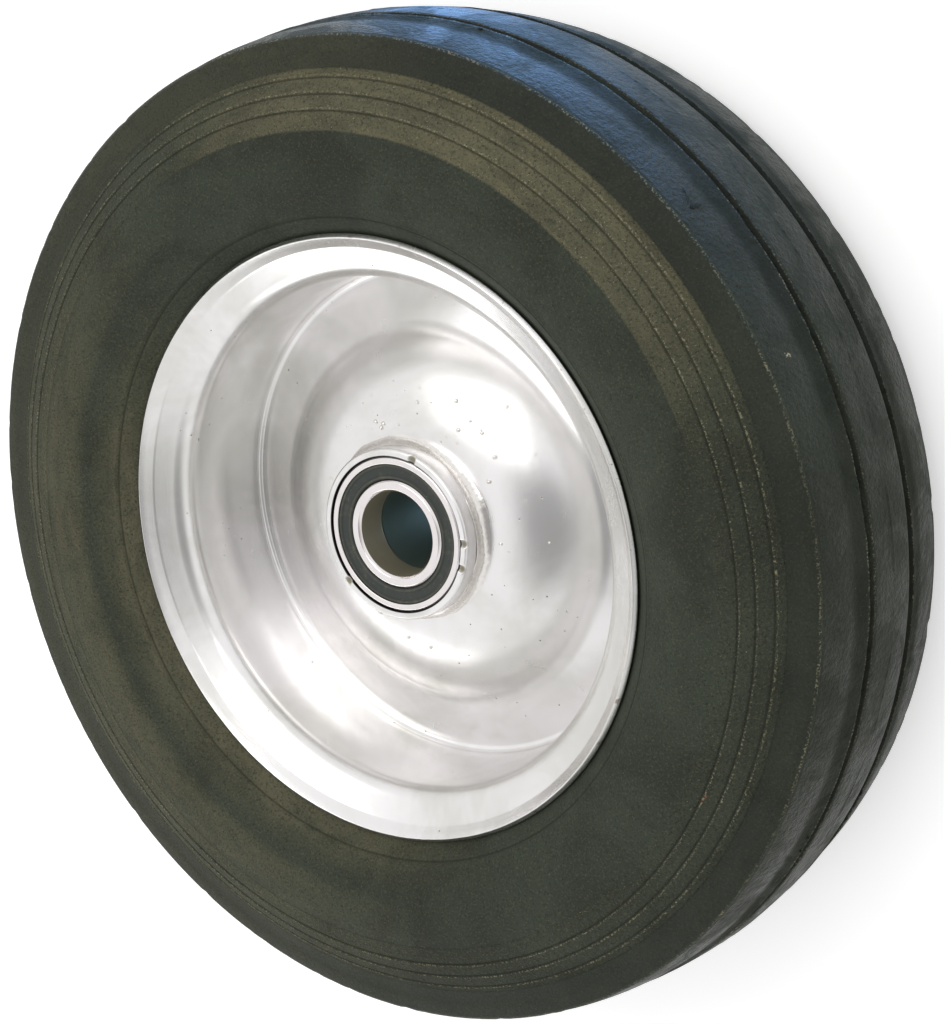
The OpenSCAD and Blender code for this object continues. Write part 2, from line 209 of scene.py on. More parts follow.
# Sections of the pressed sheets, as radius and height in millimetres
SHEET, CORNER_ROUND = 2.0, 2.2
LIP, GUTTER, FLANGE = (104.0, 39.8), (100.4, 35.8), (94.4, 32.8)
BEND, BARREL = (89.1, 25.9), (88.0, 9.0)
WEB_CORNER, FOOT, DOME_START = (88.0, -9.2), (66.3, -2.2), (33.55, 15.7)
REAR_CORNER, LAP_EDGE = (88.293, 13.498), (74.293, 8.981)
HUB_R = 30.15


def rim_half():
    """The seen side of half the rim: straight lip, gutter arc, flange, the bend that turns by 60 degrees, and the seat down to the level barrel."""
    rise = math.dist(FLANGE, BEND) / 2 * math.tan(math.radians(59.7) / 4)
    return np.vstack([[LIP], corner_arc(GUTTER, LIP, FLANGE, 3.0, 8), arc(FLANGE, BEND, -rise, 22), [BARREL]])


def front_seen():
    """The seen side of the front pressing: half the rim, the barrel, the tight hollow corner, the sloping web, the wide hollow bend at the dome's foot, the dome's arc and the level edge at the hub."""
    foot_end = np.array(FOOT) + [-math.cos(math.radians(50)), math.sin(math.radians(50))]
    foot = corner_arc(FOOT, WEB_CORNER, foot_end, 12.0, 12)
    return np.vstack([
        rim_half(),
        corner_arc(WEB_CORNER, BARREL, FOOT, CORNER_ROUND, 10),
        foot[:-1],
        arc(foot[-1], DOME_START, -3.2, 34),
        [[HUB_R, DOME_START[1]]],
    ])


def rear_seen():
    """The seen side of the rear pressing, drawn as if it were at the front: half the rim, its corner and the narrow web that laps the front pressing."""
    return np.vstack([rim_half()[:-1], corner_arc(REAR_CORNER, BEND, LAP_EDGE, CORNER_ROUND, 10), [LAP_EDGE]])


FRONT_SEEN, REAR_SEEN = front_seen(), rear_seen()
FRONT_BACK, REAR_BACK = shifted(FRONT_SEEN, SHEET), shifted(REAR_SEEN, SHEET)
RIM_SEEN = np.vstack([rim_half(), mirrored(rim_half())])
RIM_BACK = shifted(RIM_SEEN, SHEET)

# Tyre
EDGE = RIM_BACK[0] + [1.2, 0.2]
SHOULDER = np.array([159.0, 40.1])
RINGS = (111.2, 146.2, 151.2, 156.2)


def side_height(r):
    """Height of the tyre's side over the middle plane at radius r: the circular arc that stands to the full width between the rim and the shoulder."""
    chord = SHOULDER - EDGE
    span = np.linalg.norm(chord)
    rise = 50.0 - (EDGE[1] + SHOULDER[1]) / 2
    radius = (span**2 / 4 + rise**2) / (2 * rise)
    tilt = math.atan2(chord[1], chord[0])
    middle = (EDGE + SHOULDER) / 2 + np.array([-math.sin(tilt), math.cos(tilt)]) * (rise - radius)
    return middle[1] + np.sqrt(np.maximum(radius**2 - (r - middle[0]) ** 2, 0)) - 0.01


def tyre_outline(sizes):
    """The tyre's section: the side arc with its fine rings, the shoulder, the tread's three ribs and two grooves, mirrored, and closed along the back of the rim."""
    fine = np.array([-0.9, -0.45, -0.15, 0.15, 0.5, 0.9, 1.4])
    r = np.unique(np.concatenate([np.linspace(EDGE[0], SHOULDER[0] - 0.6, 20)] + [k + fine for k in RINGS]))
    z = side_height(r)
    for k in RINGS:
        z += (sizes.ring_bead * near(r, k + 0.75, 0.42) - sizes.ring_depth * near(r, k, 0.36)) / MM
    side = np.stack([r, z], 1)
    half = np.vstack([
        [EDGE + [-0.9, -0.9]],
        side,
        [SHOULDER, [164, 39.9], [168.6, 39.4], [169.8, 38.5]],
        arc([169.9, 37.2], [172.7, 19.4], 0.7, 7),
        arc([173.1, 17.8], [174.1, 15.25], -0.2, 3),
        [[168.9, 15.2], [168.1, 14.4], [168.1, 12.8], [168.9, 12.0], [174.1, 11.95]],
        arc([174.3, 10.5], [174.72, 1.3], 0.12, 4),
        [[174.74, 0.55], [174.76, 0.2]],
    ])
    back = shifted(RIM_SEEN, 2.03)[::-1]
    return np.vstack([half, mirrored(half), back[1:-1]])



def mesh_piece(name, points, faces, body, finish):
    """A smooth mesh of quads from an array of points in metres and an array of corner numbers, riding on a body."""
    mesh = bpy.data.meshes.new(name)
    points, faces = np.ascontiguousarray(points, np.float32), np.ascontiguousarray(faces, np.int32)
    corners = faces.shape[1]
    mesh.vertices.add(len(points))
    mesh.vertices.foreach_set("co", points.ravel())
    mesh.loops.add(faces.size)
    mesh.loops.foreach_set("vertex_index", faces.ravel())
    mesh.polygons.add(len(faces))
    mesh.polygons.foreach_set("loop_start", np.arange(0, faces.size, corners, dtype=np.int32))
    mesh.polygons.foreach_set("use_smooth", np.ones(len(faces), bool))
    mesh.update(calc_edges=True)
    mesh.materials.append(finish)
    piece = bpy.data.objects.new(name, mesh)
    bpy.context.scene.collection.objects.link(piece)
    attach(piece, body)
    return piece


def grid_faces(rows, columns, first=0):
    """Corner numbers of a grid of quads that closes on itself both ways."""
    i, j = np.meshgrid(np.arange(rows), np.arange(columns), indexing="ij")
    k, m = (i + 1) % rows, (j + 1) % columns
    return first + np.stack([i * columns + j, k * columns + j, k * columns + m, i * columns + m], -1).reshape(-1, 4)


def turned(outline, count, shift=None):
    """A closed outline carried once round the axle line: its point (r, z) at the turn t goes to (r cos t, r sin t, z), after shift(r, z, t) has been added to r and z. Gives points in metres and quads that face outwards."""
    r, z = outline.T
    if (r * np.roll(z, -1) - np.roll(r, -1) * z).sum() > 0:
        r, z = r[::-1], z[::-1]
    t = np.arange(count) * TURN / count
    r, z, t = np.broadcast_arrays(r[:, None], z[:, None], t[None, :])
    if shift is not None:
        dr, dz = shift(r, z, t)
        r, z = r + dr, z + dz
    points = np.stack([r * np.cos(t), r * np.sin(t), z], -1).reshape(-1, 3) * MM
    return points, grid_faces(*r.shape)


def blobs(centre, out, size, grain, seed):
    """Squashed uneven balls, all in one mesh: for each centre, the point at the angles (u, v) is centre + a cos u sin v along + b sin u sin v across + h cos v out, and each ball's radius is waved by grain."""
    rng = np.random.default_rng(seed)
    count = len(centre)
    out = out / np.linalg.norm(out, axis=1)[:, None]
    helper = np.where(np.abs(out[:, 2:]) < 0.9, [[0, 0, 1.0]], [[1.0, 0, 0]])
    along = np.cross(helper, out)
    along /= np.linalg.norm(along, axis=1)[:, None]
    across = np.cross(out, along)
    spin = rng.uniform(0, TURN, count)[:, None]
    along, across = along * np.cos(spin) + across * np.sin(spin), across * np.cos(spin) - along * np.sin(spin)
    n_u, n_v = 10, 6
    u = np.arange(n_u) * TURN / n_u
    v = (np.arange(n_v) + 0.5) * math.pi / n_v
    u, v = np.meshgrid(u, v)
    wave = 1 + grain * rng.uniform(-1, 1, (count,) + u.shape)
    a, b, h = (s[:, None, None, None] for s in size.T)
    grid = (
        centre[:, None, None, :]
        + a * (wave * np.cos(u) * np.sin(v))[..., None] * along[:, None, None, :]
        + b * (wave * np.sin(u) * np.sin(v))[..., None] * across[:, None, None, :]
        + h * (wave * np.cos(v))[..., None] * out[:, None, None, :]
    )
    top, bottom = grid[:, 0].mean(1), grid[:, -1].mean(1)
    points = np.concatenate([grid.reshape(count, -1, 3), top[:, None], bottom[:, None]], 1)
    i, j = np.meshgrid(np.arange(n_v - 1), np.arange(n_u), indexing="ij")
    m = (j + 1) % n_u
    side = np.stack([i * n_u + j, (i + 1) * n_u + j, (i + 1) * n_u + m, i * n_u + m], -1).reshape(-1, 4)
    j, last = np.arange(n_u), n_u * (n_v - 1)
    m, tip, foot = (j + 1) % n_u, np.full(n_u, n_u * n_v), np.full(n_u, n_u * n_v + 1)
    caps = np.vstack([np.stack([j, m, tip], 1), np.stack([last + m, last + j, foot], 1)])
    tris = np.vstack([side[:, [0, 1, 2]], side[:, [0, 2, 3]], caps])
    start = np.arange(count)[:, None, None] * points.shape[1]
    return points.reshape(-1, 3), (tris[None] + start).reshape(-1, 3)



class Wire:
    """One value in a material. Sums, products and powers of wires and numbers add their Math nodes."""

    def __init__(self, graph, socket):
        self.graph, self.socket = graph, socket

    def math(self, operation, *values):
        links = dict(enumerate(values))
        return self.graph.node("ShaderNodeMath", {"operation": operation}, links)

    def __add__(self, other):
        return self.math("ADD", self, other)

    def __sub__(self, other):
        return self.math("SUBTRACT", self, other)

    def __rsub__(self, other):
        return self.math("SUBTRACT", other, self)

    def __mul__(self, other):
        return self.math("MULTIPLY", self, other)

    def __truediv__(self, other):
        return self.math("DIVIDE", self, other)

    def __pow__(self, other):
        return self.math("POWER", self, other)

    __radd__, __rmul__ = __add__, __mul__

    def up(self, low, high):
        """Smooth step: 0 below low, 1 above high."""
        return self.graph.node(
            "ShaderNodeMapRange", {"interpolation_type": "SMOOTHSTEP"},
            {"Value": self, "From Min": low, "From Max": high, "To Min": 0.0, "To Max": 1.0},
        )

    def between(self, low, high, soft):
        """1 between low and high, with edges soft wide."""
        return self.up(low - soft, low + soft) * (1 - self.up(high - soft, high + soft))


class Graph:
    """A material and the nodes that its expressions add."""

    def __init__(self, name):
        self.material = bpy.data.materials.new(name)
        self.material.use_nodes = True
        self.tree = self.material.node_tree
        self.tree.nodes.clear()
        self.place = self.node("ShaderNodeTexCoord", out="Object")
        x, y, self.height = (self.node("ShaderNodeSeparateXYZ", links={0: self.place}, out=k) for k in range(3))
        self.radius = (x * x + y * y) ** 0.5
        self.angle = y.math("ARCTAN2", y, x)

    def node(self, kind, settings=None, links=None, out=0):
        """Adds a node of this type, sets its settings and then its sockets, from values or wires, and gives the wire of its output out."""
        new = self.tree.nodes.new(kind)
        for key, value in (settings or {}).items():
            if key == "stops":
                ramp = new.color_ramp.elements
                while len(ramp) < len(value):
                    ramp.new(1.0)
                for element, (position, colour) in zip(ramp, value):
                    element.position, element.color = position, (*colour, 1.0)
            else:
                setattr(new, key, value)
        for key, value in (links or {}).items():
            socket = new.inputs[key]
            if isinstance(value, Wire):
                self.tree.links.new(value.socket, socket)
            elif hasattr(socket.default_value, "__len__") and len(socket.default_value) == 4:
                socket.default_value = (*value, 1.0)
            else:
                socket.default_value = value
        return Wire(self, new.outputs[out]) if new.outputs else None

    def mix(self, factor, a, b, blend="MIX"):
        """The colour a going over to b by factor."""
        return self.node("ShaderNodeMix", {"data_type": "RGBA", "blend_type": blend}, {0: factor, 6: a, 7: b}, out=2)

    def noise(self, scale, detail=3.0, rough=0.55, at=None, warp=0.0):
        """Smooth noise about 0.5, whose grains are about 1 / scale metres."""
        return self.node("ShaderNodeTexNoise", links={
            "Vector": at or self.place, "Scale": scale, "Detail": detail, "Roughness": rough, "Distortion": warp})

    def cells(self, scale, at=None, spread=1.0):
        """Distance to the nearest of scattered points, in cells."""
        return self.node("ShaderNodeTexVoronoi", links={"Vector": at or self.place, "Scale": scale, "Randomness": spread})

    def stretched(self, x, y, z):
        """The place with each axis scaled, for streaks."""
        return self.node("ShaderNodeMapping", links={"Vector": self.place, "Scale": (x, y, z)})

    def polar(self, round_scale, out_scale, height_scale):
        """The place as (turn, radius, height), for marks that run round the wheel."""
        return self.node("ShaderNodeCombineXYZ", links={
            0: self.angle * round_scale, 1: self.radius * out_scale, 2: self.height * height_scale})

    def spot(self, point, radius, soft=0.4):
        """1 within radius of a point given in millimetres, fading at its edge."""
        away = self.node("ShaderNodeVectorMath", {"operation": "DISTANCE"}, {
            0: self.place, 1: tuple(c * MM for c in point)}, out="Value")
        return 1 - away.up(radius * MM * (1 - soft), radius * MM * (1 + soft))

    def around(self, degrees, width):
        """1 towards that direction round the wheel, falling smoothly to 0 at width degrees from it."""
        return (self.angle - math.radians(degrees)).math("COSINE", self.angle - math.radians(degrees)).up(math.cos(math.radians(width)), 1.0)

    def bump(self, height, depth, strength=1.0, under=None):
        """A bump of that height map, depth metres deep at 1, over another bump."""
        links = {"Height": height, "Distance": depth, "Strength": strength}
        if under is not None:
            links["Normal"] = under
        return self.node("ShaderNodeBump", links=links)

    def surface(self, **sockets):
        """Ends the material with a Principled shader whose sockets are given by name, with _ for a space."""
        links = {key.replace("_", " "): value for key, value in sockets.items()}
        shader = self.node("ShaderNodeBsdfPrincipled", links=links)
        self.node("ShaderNodeOutputMaterial", links={0: shader})
        return self.material



def rubber_finish(colours):
    """Moulded rubber: even near the rim, rough and dusty between the fine rings, smooth and dark on the shoulder,
    fine-grained on the ribs, near-black in the grooves from painted shade, dull before their lips, with light specks
    where edges rub.
    """
    g = Graph("moulded_rubber")
    r, z = g.radius, g.height
    up = z.math("ABSOLUTE", z)
    side = up.up(0.0365, 0.0380)
    rough_band = r.between(0.1400, 0.1590, 0.0005) * side
    shoulder = r.between(0.1590, 0.1696, 0.0003) * side
    tread = 1 - side
    lip_band = up.between(0.0152, 0.0225, 0.0022) * tread
    flash = (1 - up.up(0.0004, 0.0014)) * tread * g.noise(150, 4, 0.7).up(0.50, 0.60)
    # Painted shade: the tread grooves' walls and floors are mixed almost fully to dark rubber to stand for the shade
    # inside them.
    groove = up.between(0.0120, 0.0152, 0.0002) * r.between(0.150, 0.1739, 0.0002)
    lines = sum((r.between((k - 0.34) * MM, (k + 0.22) * MM, 0.00010) for k in RINGS), 0.0) * side
    ridges = sum((r.between((k + 0.45) * MM, (k + 1.05) * MM, 0.00015) for k in RINGS[1:]), 0.0) * side
    mottle = g.noise(26, 5, 0.62, warp=0.7)
    smear = g.noise(4, 5, 0.62, at=g.polar(1.6, 34, 34), warp=0.5)
    grain = g.noise(1100, 4, 0.68)
    pebble = g.noise(520, 3, 0.62)
    speck = g.noise(1900, 2, 0.6)
    crumb = g.cells(620)
    top, left = g.around(64, 56), g.around(195, 85)
    base = g.mix(mottle.up(0.32, 0.74) * 0.7, colours.rubber, colours.rubber_dark)
    dust = rough_band * (0.05 + top * 0.72 + left * 0.26) + side * left * r.between(0.1245, 0.1400, 0.0035) * 0.42
    dust = dust + side * (g.around(105, 40) * shoulder * 0.30 + left * shoulder * 0.20 + (1 - r.up(0.108, 0.124)) * g.around(205, 90) * 0.62)
    dust = dust * (0.55 + smear.up(0.32, 0.66) * 0.6) + side * mottle.up(0.60, 0.80) * 0.08
    base = g.mix(dust, base, colours.rubber_brown)
    base = g.mix(grain.up(0.50, 0.64) * 0.55, base, colours.rubber_dark)
    base = g.mix(g.noise(1300, 2, 0.6).up(0.54, 0.66) * (0.22 + dust * 0.4), base, colours.rubber_brown)
    base = g.mix(g.spot((124.4, -77.6, 47.6), 1.1, 0.3) * pebble.up(0.48, 0.56), base, colours.clay)
    # Painted shade: the groove term below darkens the tread grooves.
    dark = shoulder * (0.45 - left * 0.2) + groove * 0.95 + tread * 0.45 + lines * 0.5 + flash * 0.8 + lip_band * 0.25
    base = g.mix(dark, base, colours.rubber_dark)
    corner = r.between(0.1692, 0.1699, 0.00015) * up.up(0.0376, 0.0384)
    lip = up.between(0.0150, 0.0156, 0.0001) * r.up(0.1735, 0.1739) * 0.7 + up.between(0.0113, 0.0119, 0.0001) * r.up(0.1735, 0.1739) * 0.35
    worn = (corner * 0.4 + lip * 0.8 + ridges * 0.5) * g.noise(1300, 2, 0.6).up(0.50, 0.62) * (0.35 + g.noise(70, 3).up(0.4, 0.65) * 0.65)
    scratch = g.spot((162.7, 57.2, 29.1), 1.5, 0.3) * g.noise(700, 3, 0.7).up(0.54, 0.60)
    light = worn + scratch + rough_band * speck.up(0.66, 0.73) * (0.25 + top * 0.55 + left * 0.35) + speck.up(0.745, 0.77) * 0.5
    base = g.mix(light, base, colours.rubber_light)
    pit = crumb.up(0.10, 0.22) * -1.0 + 1.0
    pit = pit * (g.noise(90, 2, 0.5).up(0.50, 0.60) + tread * 0.5)
    base = g.mix(pit * 0.65, base, colours.rubber_dark)
    scuffed = g.noise(46, 4, 0.7, warp=0.8).up(0.40, 0.62)
    fine = g.bump(grain, 0.00018, 0.7)
    coarse = g.bump(pebble * (rough_band * 1.0 + tread * 1.1 + 0.16), 0.0008, 0.9, fine)
    lumps = g.bump(g.noise(60, 3, 0.5), 0.0008, 0.3, coarse)
    pits = g.bump(1 - pit, 0.0003, 0.6, lumps)
    return g.surface(
        Base_Color=base,
        Roughness=0.52 + rough_band * 0.10 + grain * 0.12 + lip_band * 0.3 - tread * (0.20 - scuffed * 0.24) - shoulder * 0.04,
        Normal=pits, IOR=1.48, Specular_IOR_Level=0.13,
    )


def zinc_finish(colours):
    """Bright zinc on drawn sheet: satin, softly clouded, with fine streaks round the axle, small dark pits and a little rust where the sheet was sheared."""
    g = Graph("bright_zinc")
    cloud = g.noise(18, 4, 0.6, warp=0.8)
    streak = g.noise(6, 3, 0.6, at=g.polar(3.0, 700, 700))
    frost = g.noise(1400, 3, 0.6)
    pit = (1 - g.cells(260).up(0.05, 0.10)) * g.noise(34, 2).up(0.52, 0.60)
    stain = g.noise(48, 4, 0.65, warp=1.2).up(0.64, 0.80)
    sheared = g.radius.between(0.1040, 0.1070, 0.0003) * g.height.math("ABSOLUTE", g.height).up(0.0378, 0.0386)
    base = g.mix(cloud.up(0.35, 0.7), colours.zinc, colours.zinc_dull)
    base = g.mix(stain * 0.04, base, colours.rust)
    base = g.mix(pit * 0.85 + sheared * g.noise(150, 4, 0.7).up(0.60, 0.68) * 0.6, base, colours.rust)
    lay = g.bump(streak, 0.00004, 0.35)
    frosted = g.bump(frost, 0.00002, 0.4, lay)
    rolling = g.bump(g.noise(30, 3, 0.5), 0.0004, 0.35, frosted)
    pitted = g.bump(1 - pit, 0.0001, 0.6, rolling)
    return g.surface(
        Base_Color=base, Metallic=1.0 - pit * 0.6 - stain * 0.1,
        Roughness=0.17 + cloud * 0.10 + stain * 0.10 + frost * 0.05 + pit * 0.3,
        Normal=pitted,
    )


def weld_finish(colours):
    """Weld metal: bright ripples with brownish heat tints and dark slag in the hollows."""
    g = Graph("weld_metal")
    tint = g.noise(160, 4, 0.65, warp=0.6)
    slag = g.noise(700, 3, 0.6).up(0.62, 0.72)
    base = g.mix(tint.up(0.45, 0.75) * 0.5, colours.weld, colours.zinc_dull)
    base = g.mix(slag * 0.2, base, colours.rust)
    lumps = g.bump(g.noise(240, 3, 0.55), 0.0004, 0.5)
    return g.surface(Base_Color=base, Metallic=1.0 - slag * 0.4, Roughness=0.14 + tint * 0.14 + slag * 0.2, Normal=lumps)


def ground_finish(name, tone, dull, rough, lines):
    """Ground steel: mirror-like, with hair-fine grinding lines round the axle and faint clouds, and a near-black ring
    of painted shade from radius 27.0 to 27.9 mm, where a bearing's outer ring meets the hub tube.
    """
    g = Graph(name)
    line = g.noise(4, 3, 0.7, at=g.polar(0.6, lines, lines))
    cloud = g.noise(120, 4, 0.6)
    bore = (1 - g.radius.up(0.01502, 0.01512)) * g.radius.up(0.0146, 0.0149)
    brown = linear(168, 156, 122)
    # Painted shade: the near-black ring where the outer ring meets the hub tube stands for the shade in the slot
    # between them.
    painted_gap_shade = g.radius.between(0.02700, 0.02790, 0.0001)
    base = g.mix(cloud.up(0.4, 0.75) * 0.5 + line * 0.2 + bore * 0.5, tone, dull)
    base = g.mix(bore * 0.8, base, brown)
    base = g.mix(painted_gap_shade * 0.96, base, (0.012, 0.012, 0.010))
    return g.surface(
        Base_Color=base, Metallic=1.0 - painted_gap_shade * 0.9 - bore * 0.35, Roughness=rough + line * 0.09 + cloud * 0.05 + bore * 0.24 + painted_gap_shade * 0.4,
        Normal=g.bump(line, 0.000012, 0.4),
    )


def hub_finish(colours):
    """The hub tube: zinc like the sheet, browned where its ends were staked over the bearings, with a near-black ring
    of painted shade from radius 27.0 to 27.7 mm where the bearings sit in it.
    """
    g = Graph("hub_zinc")
    cloud = g.noise(60, 4, 0.6)
    marks = sum((g.spot((28.7 * math.cos(a), 28.7 * math.sin(a), s * 25.2), 1.35, 0.5)
                 for a in np.radians(STAKES) for s in (1, -1)), 0.0)
    base = g.mix(cloud.up(0.4, 0.7), colours.zinc, colours.zinc_dull)
    base = g.mix(marks * 0.9, base, linear(112, 104, 76))
    rough = g.noise(900, 3, 0.6)
    # The near-black ring at radius 27.0 to 27.7 mm is painted shade in the slot between the tube and the bearings'
    # outer rings.
    return g.surface(
        Base_Color=g.mix(g.radius.between(0.0270, 0.0277, 0.0001) * 0.95, base, (0.012, 0.012, 0.010)), Metallic=1.0 - marks * 0.7, Roughness=0.24 + cloud * 0.1 + marks * 0.25,
        Normal=g.bump(rough, 0.00004, 0.4 ),
    )


def seal_finish(colours):
    """Bearing seal: dull rubber, a little worn along its raised lips."""
    g = Graph("seal_rubber")
    dust = g.noise(260, 4, 0.65)
    worn = g.radius.between(0.0238, 0.0243, 0.0002) + g.radius.between(0.0197, 0.0202, 0.0002)
    base = g.mix(dust.up(0.5, 0.8) * 0.14 + worn * dust * 0.16 + g.noise(1700, 2).up(0.70, 0.75) * 0.6, colours.seal, colours.rubber_light)
    return g.surface(
        Base_Color=base, Roughness=0.52 + dust * 0.2,
        Normal=g.bump(g.noise(1800, 3, 0.6), 0.00003, 0.6), IOR=1.48, Specular_IOR_Level=0.2,
    )


def crumb_finish(colours):
    """Torn rubber: dark, dull and rough all over."""
    g = Graph("torn_rubber")
    grain = g.noise(1200, 4, 0.7)
    base = g.mix(grain.up(0.4, 0.7) * 0.5, colours.rubber_dark, colours.rubber)
    return g.surface(Base_Color=base, Roughness=0.6 + grain * 0.2, Normal=g.bump(grain, 0.0002, 0.8), IOR=1.48, Specular_IOR_Level=0.16)


def floor_finish(colours):
    """The floor: pale and matt, lifted to white for the camera and for mirrors by a little emission, but not under the wheel, so that its shadow stays."""
    g = Graph("pale_floor")
    paths = [g.node("ShaderNodeLightPath", out=k) for k in ("Is Camera Ray", "Is Glossy Ray", "Is Transmission Ray")]
    seen = (paths[0] + paths[1] + paths[2]).math("MINIMUM", paths[0] + paths[1] + paths[2], 1.0)
    cast = g.noise(3, 2)
    matt = g.node("ShaderNodeBsdfDiffuse", links={"Color": g.mix(cast * 0.1, colours.floor, linear(238, 238, 240))})
    glow = g.node("ShaderNodeEmission", links={"Color": (1.0, 1.0, 1.0), "Strength": seen * g.radius.up(0.08, 0.16) * 0.42})
    both = g.node("ShaderNodeAddShader", links={0: matt, 1: glow})
    g.node("ShaderNodeOutputMaterial", links={0: both})
    return g.material


STAKES = (65.0, 215.0, 336.0, 354.0)
STEPS = (
    ("wheel.studio", "Studio"),
    ("wheel.tyre", "Tyre"),
    ("wheel.crumbs", "Torn rubber"),
    ("wheel.pressings", "Pressings"),
    ("wheel.hub", "Hub tube"),
    ("wheel.welds", "Welds and spatter"),
    ("wheel.bearings", "Bearings"),
)


def settings():
    """The scene's three groups of settings."""
    scene = bpy.context.scene
    return scene.wheel_sizes, scene.wheel_colours, scene.wheel_stage


def lamp(name, at, aim, size, power, colour):
    """A soft rectangular lamp at a point, aimed at another."""
    data = bpy.data.lights.new(name, "AREA")
    data.shape, data.size, data.size_y = "RECTANGLE", size[0], size[1]
    data.energy, data.color = power, colour
    made = bpy.data.objects.new(name, data)
    made.visible_camera = False
    made.matrix_world = aimed(at, aim)
    bpy.context.scene.collection.objects.link(made)
    return made


def aimed(at, aim):
    """The place of something at one point whose back is turned to another: its own Z axis points away from aim."""
    away = np.array(at) - np.array(aim)
    z = away / np.linalg.norm(away)
    x = np.cross([0, 0, 1.0], z) if abs(z[2]) < 0.99 else np.array([1.0, 0, 0])
    x /= np.linalg.norm(x)
    y = np.cross(z, x)
    return Matrix([(*row, p) for row, p in zip(np.stack([x, y, z], 1), at)] + [(0, 0, 0, 1)])


def grey_card(name, at, aim, core, reach, level):
    """A flat card that only mirrors see, for the dark side of the studio in the bright metal: grey within core of its middle, and as white as the room at its reach."""
    g = Graph(name)
    away = g.node("ShaderNodeVectorMath", {"operation": "DISTANCE"}, {0: g.place, 1: at}, out="Value")
    glow = g.node("ShaderNodeEmission", links={"Color": (1.0, 1.0, 1.0), "Strength": away.up(core, reach) * (1 - level) + level})
    g.node("ShaderNodeOutputMaterial", links={0: glow})
    turn = np.arange(48) * TURN / 48
    corners = np.stack([reach * np.cos(turn), reach * np.sin(turn), 0 * turn, 1 + 0 * turn], 1)
    mesh = bpy.data.meshes.new(name)
    mesh.from_pydata((corners @ np.array(aimed(at, aim)).T)[:, :3].tolist(), [], [tuple(range(48))])
    mesh.materials.append(g.material)
    card = bpy.data.objects.new(name, mesh)
    card.visible_camera = card.visible_diffuse = card.visible_shadow = False
    bpy.context.scene.collection.objects.link(card)


class WHEEL_OT_studio(bpy.types.Operator):
    """Makes the camera, the pale floor, the soft lamps and the even light all round"""

    bl_idname = "wheel.studio"
    bl_label = "Studio"

    def execute(self, context):
        _, colours, stage = settings()
        scene = context.scene
        scene.view_settings.view_transform = "Standard"
        data = bpy.data.cameras.new("camera")
        data.lens, data.sensor_width, data.clip_end = stage.lens, 36.0, 50.0
        camera = bpy.data.objects.new("camera", data)
        right, up = (0.80323377, -0.14168815, -0.57856718), (0.0, 0.97129800, -0.23786592)
        back, place = (0.59566392, 0.19106194, 0.78017936), (0.53943142, 0.17001117, 0.68686901)
        camera.matrix_world = Matrix([(r, u, b, p) for r, u, b, p in zip(right, up, back, place)] + [(0, 0, 0, 1)])
        scene.collection.objects.link(camera)
        scene.camera = camera

        low = TYRE_BOX[0].z - 0.00005
        points = np.array([(x, y, low) for x, y in ((-6, -6), (6, -6), (6, 6), (-6, 6))], float)
        mesh = bpy.data.meshes.new("floor")
        mesh.from_pydata(points.tolist(), [], [(0, 1, 2, 3)])
        mesh.materials.append(floor_finish(colours))
        floor = bpy.data.objects.new("floor", mesh)
        scene.collection.objects.link(floor)

        lamp("key_lamp", (0.0, 0.95, 1.65), (0, 0, 0), (1.5, 1.1), stage.key_power, (1.0, 0.99, 0.98))
        lamp("foot_lamp", (-1.26, -1.26, 0.66), (0, 0, 0), (1.3, 0.6), stage.key_power * 0.5, (1.0, 1.0, 1.0))
        lamp("bounce_lamp", (0.16, 0.335, low + 0.0004), (0.16, 0.335, 1), (0.38, 0.30), stage.bounce_power, (0.10, 0.40, 1.0))
        lamp("bore_lamp", (0.004, -0.004, low + 0.0004), (0.004, -0.004, 1), (0.018, 0.010), 0.0022, (0.55, 0.74, 1.0))
        grey_card("dark_side_card", (0.80, -0.42, 1.66), (0, 0, 0), 0.44, 1.30, 0.37)

        world = bpy.data.worlds.new("even_light")
        scene.world = world
        world.use_nodes = True
        tree = world.node_tree
        tree.nodes.clear()
        path = tree.nodes.new("ShaderNodeLightPath")
        seen = tree.nodes.new("ShaderNodeMath")
        seen.operation = "ADD"
        also = tree.nodes.new("ShaderNodeMath")
        also.operation, also.use_clamp = "ADD", True
        tree.links.new(path.outputs["Is Camera Ray"], seen.inputs[0])
        tree.links.new(path.outputs["Is Glossy Ray"], seen.inputs[1])
        tree.links.new(seen.outputs[0], also.inputs[0])
        tree.links.new(path.outputs["Is Transmission Ray"], also.inputs[1])
        level = tree.nodes.new("ShaderNodeMapRange")
        level.inputs["To Min"].default_value, level.inputs["To Max"].default_value = stage.world_level, 1.0
        tree.links.new(also.outputs[0], level.inputs["Value"])
        sky = tree.nodes.new("ShaderNodeBackground")
        tree.links.new(level.outputs[0], sky.inputs["Strength"])
        sky.inputs["Color"].default_value = (1, 1, 1, 1)
        out = tree.nodes.new("ShaderNodeOutputWorld")
        tree.links.new(sky.outputs[0], out.inputs[0])
        return {"FINISHED"}


